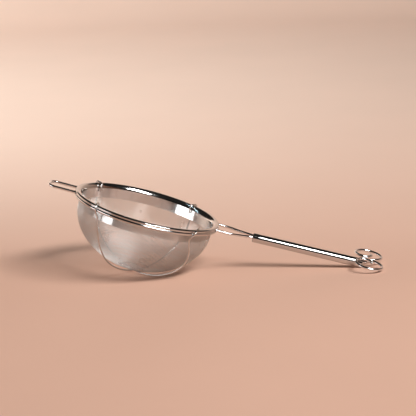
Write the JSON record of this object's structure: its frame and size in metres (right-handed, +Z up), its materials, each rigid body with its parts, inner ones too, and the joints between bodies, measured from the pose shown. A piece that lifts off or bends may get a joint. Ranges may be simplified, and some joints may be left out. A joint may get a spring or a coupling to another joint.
{
  "type": "tea strainer",
  "caption": "Round fine-mesh strainer bowl in a rolled metal rim, with hooked support wires, a wire rest loop and a tubular handle ending in wire loops.",
  "frame": {"origin": "bottom centre of the bounding box, on the table that the strainer rests on", "axes": "+X along the handle, from the bowl to the loops at its end; +Z up from the table; the rim leans towards the handle by the 16.6 degrees at which the strainer rests"},
  "size_m": [0.268, 0.12, 0.0767],
  "materials": {
    "polished_steel": "polished stainless sheet",
    "drawn_wire": "bright drawn stainless wire",
    "woven_steel": "plain-woven stainless wire cloth",
    "satin_steel": "polished stainless tube with fine drawing lines"
  },
  "bodies": {
    "root": {"rim_bead": "polished_steel", "collar_band": "polished_steel", "mesh_bowl": "woven_steel", "support_wire_upper": "drawn_wire", "support_wire_lower": "drawn_wire", "front_rest_loop": "drawn_wire", "handle_wire_left": "drawn_wire", "handle_wire_right": "drawn_wire", "handle_tube": "satin_steel"}
  },
  "joints": []
}
